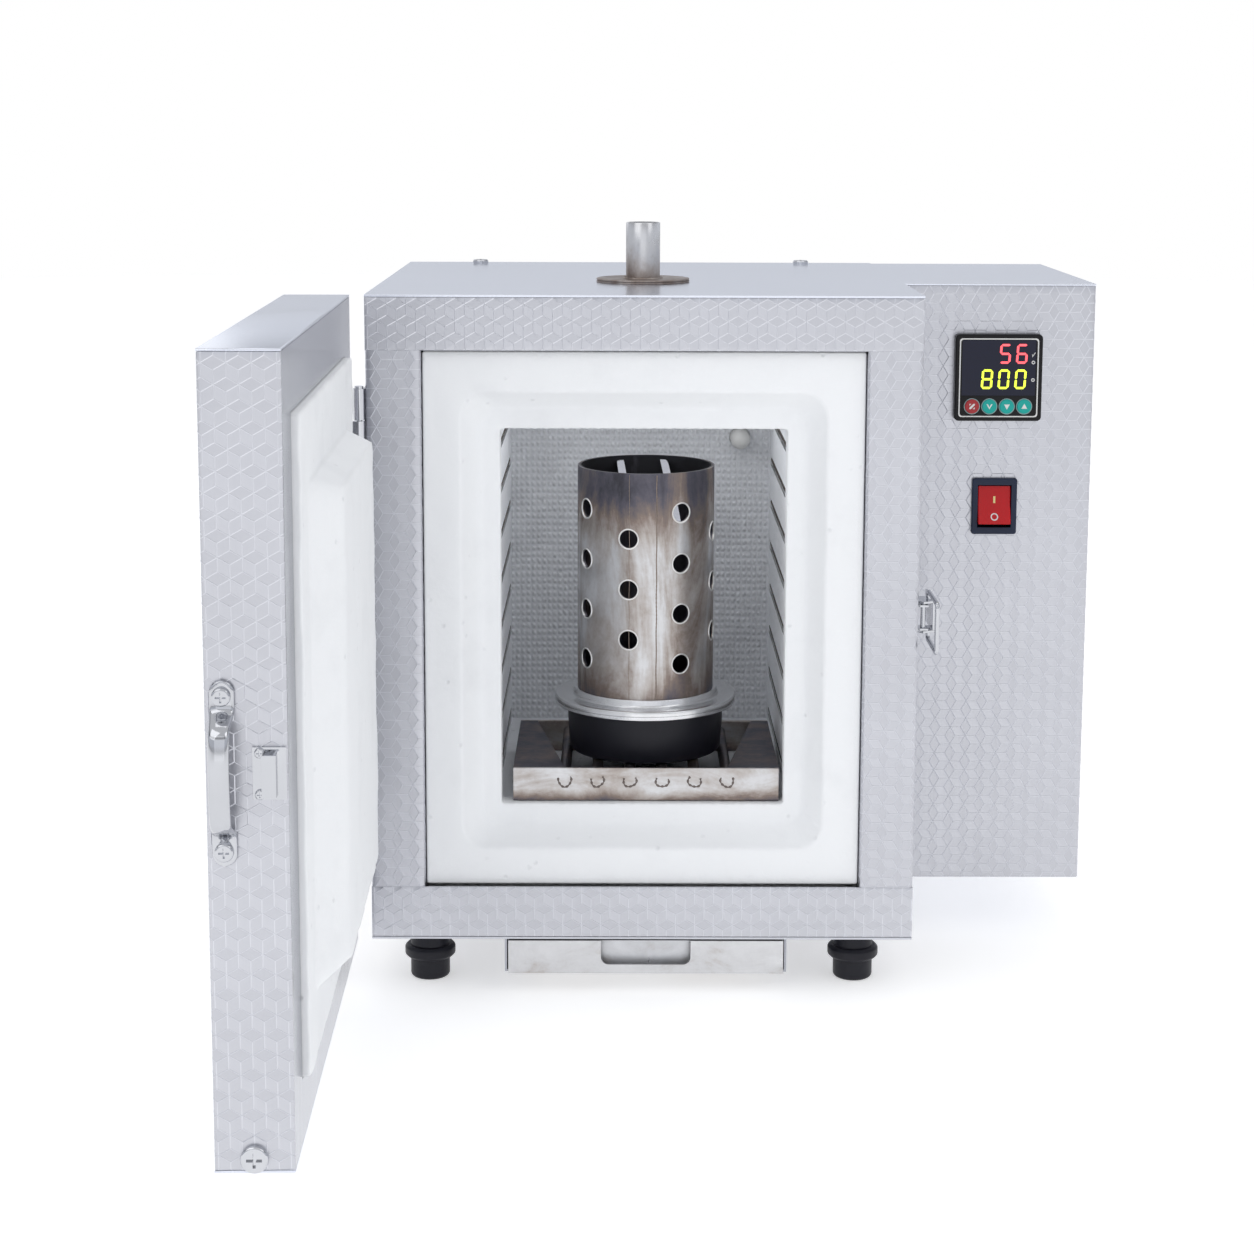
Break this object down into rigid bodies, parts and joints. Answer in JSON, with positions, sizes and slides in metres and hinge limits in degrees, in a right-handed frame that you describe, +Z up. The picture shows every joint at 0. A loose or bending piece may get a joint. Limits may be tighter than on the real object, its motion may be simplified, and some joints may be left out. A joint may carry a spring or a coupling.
{
  "type": "bench burnout kiln",
  "caption": "Small steel bench kiln with fibre-lined chamber, side-hung plug door, control box, lift-out flue, drip tray, grate and perforated casting flask.",
  "frame": {"origin": "on the floor, under the middle of the whole footprint with the door standing open", "axes": "+X to the right seen from the front, +Y to the back, +Z up"},
  "size_m": [0.4384, 0.5994, 0.409],
  "materials": {
    "embossed_sheet": "satin",
    "plain_sheet": "satin",
    "inner_sheet": "satin",
    "burnt_steel": "satin",
    "bright_steel": "polished",
    "fibre_board": "matte",
    "hot_board": "matte",
    "blanket": "matte",
    "element_wire": "matte",
    "ceramic_tube": "matte",
    "black_rubber": "matte",
    "black_plastic": "matte",
    "meter_window": "gloss",
    "navy_plastic": "satin",
    "red_plastic": "gloss",
    "key_red": "satin",
    "key_teal": "satin",
    "relay_plastic": "satin"
  },
  "bodies": {
    "cabinet": {"back_panel": "plain_sheet", "base_pan": "plain_sheet", "cable_gland": "black_plastic", "casing_screws": "bright_steel", "chamber_floor": "hot_board", "chamber_roof": "fibre_board", "chamber_wall_back": "hot_board", "chamber_wall_left": "fibre_board", "chamber_wall_right": "fibre_board", "control_box_cover": "plain_sheet", "control_box_shell": "embossed_sheet", "controller_case": "black_plastic", "controller_window": "meter_window", "drain_tube": "burnt_steel", "fibre_front_collar": "fibre_board", "foot_screws": "bright_steel", "front_header": "embossed_sheet", "front_posts": "embossed_sheet", "front_sill": "embossed_sheet", "heating_element_left": "element_wire", "heating_element_right": "element_wire", "hinge_leaves_body": "bright_steel", "hinge_pins": "bright_steel", "insulation_back": "blanket", "insulation_bottom": "blanket", "insulation_wrap": "blanket", "latch_base": "bright_steel", "left_side_panel": "embossed_sheet", "right_side_panel": "embossed_sheet", "rocker_frame": "navy_plastic", "rubber_feet": "black_rubber", "solid_state_relay": "relay_plastic", "terminal_block": "black_plastic", "thermocouple_head": "black_plastic", "thermocouple_sheath": "ceramic_tube", "top_cover": "plain_sheet", "tray_runners": "inner_sheet"},
    "door": {"door_shell": "embossed_sheet", "door_liner": "inner_sheet", "door_fibre_plug": "fibre_board", "door_handle": "bright_steel", "strike_plate": "bright_steel", "door_screws": "bright_steel", "hinge_leaves_door": "bright_steel"},
    "flue": {"flue_tube": "burnt_steel", "flue_flange": "burnt_steel"},
    "drip_tray": {"drip_tray": "burnt_steel"},
    "grate": {"grate_end_bars": "burnt_steel", "grate_rods": "burnt_steel", "grate_shelves": "burnt_steel"},
    "sprue_base": {"sprue_base": "black_rubber"},
    "flask": {"flask_shell": "burnt_steel", "flask_flange": "burnt_steel"},
    "latch_lever": {"latch_lever": "bright_steel"},
    "latch_loop": {"latch_loop": "bright_steel"},
    "rocker": {"rocker": "red_plastic"},
    "key_1": {"key_1": "key_red"},
    "key_2": {"key_2": "key_teal"},
    "key_3": {"key_3": "key_teal"},
    "key_4": {"key_4": "key_teal"}
  },
  "joints": [
    {"name": "door_swing", "type": "hinge", "parent": "cabinet", "child": "door", "pos_m": [-0.18123, 0.01024, 0.203], "axis": [0, 0, -1], "range_deg": [-89, 90]},
    {"name": "flue_lift", "type": "slide", "parent": "cabinet", "child": "flue", "axis": [0, 0, 1], "range_m": [0, 0.08]},
    {"name": "tray_slide", "type": "slide", "parent": "cabinet", "child": "drip_tray", "axis": [0, -1, 0], "range_m": [0, 0.15]},
    {"name": "grate_slide", "type": "slide", "parent": "cabinet", "child": "grate", "axis": [0, -1, 0], "range_m": [0, 0.15]},
    {"name": "base_lift", "type": "slide", "parent": "grate", "child": "sprue_base", "axis": [0, 0, 1], "range_m": [0, 0.015]},
    {"name": "flask_lift", "type": "slide", "parent": "sprue_base", "child": "flask", "axis": [0, 0, 1], "range_m": [0, 0.02]},
    {"name": "lever_swing", "type": "hinge", "parent": "cabinet", "child": "latch_lever", "pos_m": [0.11717, 0.02974, 0.2025], "axis": [0, 0, -1], "range_deg": [0, 120]},
    {"name": "loop_swing", "type": "hinge", "parent": "latch_lever", "child": "latch_loop", "pos_m": [0.12067, 0.03474, 0.2025], "axis": [0, 0, 1], "range_deg": [0, 120]},
    {"name": "rocker_tilt", "type": "hinge", "parent": "cabinet", "child": "rocker", "pos_m": [0.16517, 0.10524, 0.251], "axis": [1, 0, 0], "range_deg": [0, 20]},
    {"name": "key_1_press", "type": "slide", "parent": "cabinet", "child": "key_1", "axis": [0, 1, 0], "range_m": [0, 0.0006], "stiffness_N_per_m": 300},
    {"name": "key_2_press", "type": "slide", "parent": "cabinet", "child": "key_2", "axis": [0, 1, 0], "range_m": [0, 0.0006], "stiffness_N_per_m": 300},
    {"name": "key_3_press", "type": "slide", "parent": "cabinet", "child": "key_3", "axis": [0, 1, 0], "range_m": [0, 0.0006], "stiffness_N_per_m": 300},
    {"name": "key_4_press", "type": "slide", "parent": "cabinet", "child": "key_4", "axis": [0, 1, 0], "range_m": [0, 0.0006], "stiffness_N_per_m": 300}
  ],
  "couplings": [
    {"joint": "loop_swing", "follows": "lever_swing", "ratio": 1}
  ]
}
